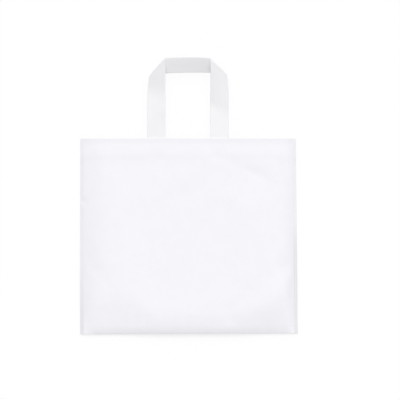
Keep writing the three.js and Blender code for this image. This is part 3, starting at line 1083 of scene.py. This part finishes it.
# %% Group for the fibres
FIBRE_TURNS = (0.2, 1.25, 2.3)  # radians
FIBRE_ALONG = 160  # changes in a metre along a fibre
FIBRE_ACROSS = 3200
FIBRE_DETAIL = 1.0
FIBRE_LEVELS = (0.45, 0.75)  # of the noise, where a fibre begins and where it is full
CLOUD_SCALE = 55
CLOUD_DETAIL = 3.0
CLOUD_LEVELS = (0.3, 0.7)


def add_noise(group, place, scale, detail):
    inputs = {"Vector": place, "Scale": scale, "Detail": detail}
    return add_node(group, "ShaderNodeTexNoise", inputs, noise_dimensions="2D").outputs["Fac"]


def make_fibre_web():
    outputs = {"Fibres": "NodeSocketFloat", "Clouds": "NodeSocketFloat"}
    group, entry, result = start_group("fibre_web", {"Vector": "NodeSocketVector"}, outputs)
    threads = None
    for turn in FIBRE_TURNS:
        inputs = {0: add_turn(group, entry.outputs["Vector"], turn), 1: (FIBRE_ALONG, FIBRE_ACROSS, 1)}
        drawn_out = add_node(group, "ShaderNodeVectorMath", inputs, operation="MULTIPLY")
        level = add_noise(group, drawn_out.outputs["Vector"], 1.0, FIBRE_DETAIL)
        threads = level if threads is None else add_math(group, "MAXIMUM", threads, level)
    clouds = add_noise(group, entry.outputs["Vector"], CLOUD_SCALE, CLOUD_DETAIL)
    group.links.new(add_range(group, threads, *FIBRE_LEVELS, 0.0, 1.0), result.inputs["Fibres"])
    group.links.new(add_range(group, clouds, *CLOUD_LEVELS, 0.0, 1.0), result.inputs["Clouds"])
    return group


fibre_web = make_fibre_web()
print(f"Group {fibre_web.name} with {len(fibre_web.nodes)} nodes")

# %% [markdown]
# ## Pressed welds
# A weld is made by a wheel with small square teeth. Each tooth melts the layers to a thin glassy spot, so a
# weld is a band of little squares, a shade greyer than the cloth. Cut into the mesh, each square would cost
# several faces. So the squares come from the fraction of the flat place in each direction, and the weld
# attribute says where they are and how strong. That attribute also carries painted shade along the fold at
# the mouth and down the lower part of the side welds.

# %% Group for the welds
TOOTH_INSIDE = 0.28  # of the pitch, from the middle of a square to where its edge begins
TOOTH_OUTSIDE = 0.38  # and to where it ends


def make_pressed_squares():
    inputs = {"Vector": "NodeSocketVector", "Pitch": "NodeSocketFloat"}
    group, entry, result = start_group("pressed_squares", inputs, {"Squares": "NodeSocketFloat"})
    axes = add_node(group, "ShaderNodeSeparateXYZ", {"Vector": entry.outputs["Vector"]})
    squares = None
    for axis in ("X", "Y"):
        count = add_math(group, "DIVIDE", axes.outputs[axis], entry.outputs["Pitch"])
        place = add_math(group, "FRACT", count)
        from_middle = add_math(group, "ABSOLUTE", add_math(group, "SUBTRACT", place, 0.5))
        bar = add_range(group, from_middle, TOOTH_INSIDE, TOOTH_OUTSIDE, 1.0, 0.0)
        squares = bar if squares is None else add_math(group, "MULTIPLY", squares, bar)
    group.links.new(squares, result.inputs["Squares"])
    return group


pressed_squares = make_pressed_squares()
print(f"Group {pressed_squares.name} with {len(pressed_squares.nodes)} nodes")

# %% [markdown]
# ## The finish of the cloth
# The cloth is a matt, slightly bluish white. One layer lets some of the darker inside through, so a doubled
# hem is a touch lighter, and a weld is a touch greyer. The same grey is painted as shade along the fold at
# the mouth and down the lower part of the side welds. Points and welds are smoother than the fibres between
# them. A picture of real cloth would repeat and bring its own light, so the finish is built from the three
# groups. The bag and the straps come from different rolls, so they share the groups but not the values.

# %% Patterns on the flat cloth
POINT_PITCH = 0.0019
TOOTH_PITCH = 0.0030
TOOTH_GAP = 0.55  # how strongly a weld shows between its squares


def add_group(tree, group, inputs):
    return add_node(tree, "ShaderNodeGroup", inputs, node_tree=group).outputs


def add_mark(tree, name):
    return add_node(tree, "ShaderNodeAttribute", {}, attribute_name=name).outputs["Fac"]


def add_patterns(tree):
    flat = add_node(tree, "ShaderNodeUVMap", {}, uv_map="flat_cloth").outputs["UV"]
    web = add_group(tree, fibre_web, {"Vector": flat})
    points = add_group(tree, bond_points, {"Vector": flat, "Pitch": POINT_PITCH})["Points"]
    squares = add_group(tree, pressed_squares, {"Vector": flat, "Pitch": TOOTH_PITCH})["Squares"]
    tooth_mark = add_range(tree, squares, 0.0, 1.0, TOOTH_GAP, 1.0)
    # real pressed welds, plus painted shade at the mouth and the lower side welds
    pressed = add_math(tree, "MULTIPLY", add_mark(tree, "weld"), tooth_mark)
    return web["Fibres"], web["Clouds"], points, pressed


print(f"Points every {1000 * POINT_PITCH:.1f} mm and squares every {1000 * TOOTH_PITCH:.1f} mm")

# %% Colour of the cloth
POINT_STRENGTH = 0.5  # how strongly a point shows its shade
POINT_SHADE = 0.985  # of the cloth's own colour
# grey of a pressed weld, and of the painted shade at the mouth and the lower side welds
WELD_GREY_AND_SHADE = 0.84


def shade(colour, share):
    return tuple(channel * share for channel in colour) + (1.0,)


def add_blend(tree, share, first, second):
    sockets = {0: share, 6: first, 7: second}  # a Mix node's factor and its two colours
    return add_node(tree, "ShaderNodeMix", sockets, data_type="RGBA").outputs[2]


def add_colour(tree, colour, cloudiness, doubled_gain, clouds, points, pressed):
    single = add_blend(tree, clouds, shade(colour, 1 - cloudiness), shade(colour, 1 + cloudiness))
    hemmed = add_blend(tree, add_mark(tree, "doubled"), single, shade(colour, 1 + doubled_gain))
    point_mark = add_math(tree, "MULTIPLY", points, POINT_STRENGTH)
    spotted = add_blend(tree, point_mark, hemmed, shade(colour, POINT_SHADE))
    # greys the welds and paints shade at the mouth and the lower side welds
    return add_blend(tree, pressed, spotted, shade(colour, WELD_GREY_AND_SHADE))


print(f"A fully pressed weld keeps {WELD_GREY_AND_SHADE} of the cloth's white")

# %% A helper that makes a cloth material
FIBRE_ROUGHNESS = 0.90
SMOOTH_ROUGHNESS = 0.62
SHINE = 0.2
SHEEN = 0.05
FIBRE_HEIGHT = 0.55  # share of the bump's height
BUMP_HEIGHT = 0.00012
BUMP_STRENGTH = 0.8


def add_bump(tree, fibres, smooth):
    raised = add_math(tree, "SUBTRACT", add_math(tree, "MULTIPLY", fibres, FIBRE_HEIGHT), smooth)
    inputs = {"Strength": BUMP_STRENGTH, "Distance": BUMP_HEIGHT, "Height": raised}
    return add_node(tree, "ShaderNodeBump", inputs).outputs["Normal"]


def make_cloth(name, colour, cloudiness, doubled_gain):
    paint = bpy.data.materials.new(name)
    paint.use_nodes = True
    tree = paint.node_tree
    shader = tree.nodes["Principled BSDF"].inputs
    shader["Specular IOR Level"].default_value = SHINE
    shader["Sheen Weight"].default_value = SHEEN
    fibres, clouds, points, pressed = add_patterns(tree)
    smooth = add_math(tree, "MAXIMUM", points, pressed)
    white = add_colour(tree, colour, cloudiness, doubled_gain, clouds, points, pressed)
    roughness = add_range(tree, smooth, 0.0, 1.0, FIBRE_ROUGHNESS, SMOOTH_ROUGHNESS)
    tree.links.new(white, shader["Base Color"])
    tree.links.new(roughness, shader["Roughness"])
    tree.links.new(add_bump(tree, fibres, smooth), shader["Normal"])
    return paint


print(f"In the bump a point lies {1000 * BUMP_HEIGHT:.2f} mm deep")

# %% The two cloth materials
BAG_WHITE = (0.934, 0.924, 0.968)  # linear values
STRAP_WHITE = (0.934, 0.929, 0.952)

bag_paint = make_cloth("bag_spunbond", BAG_WHITE, cloudiness=0.006, doubled_gain=0.015)
strap_paint = make_cloth("strap_spunbond", STRAP_WHITE, cloudiness=0.006, doubled_gain=0.0)
bag_cloth.data.materials.append(bag_paint)
for strap in (front_strap, rear_strap):
    strap.data.materials.append(strap_paint)
print(f"Materials {bag_paint.name} and {strap_paint.name}")

# %% [markdown]
# ## Size of the solids
# The cloth pieces now stand for the solids, so together they should fill about the same box. The two could be
# compared by eye in the viewport. Here the solids' box is printed.

# %% Box of the solids, and the end
print("CAD box:", cad_box)
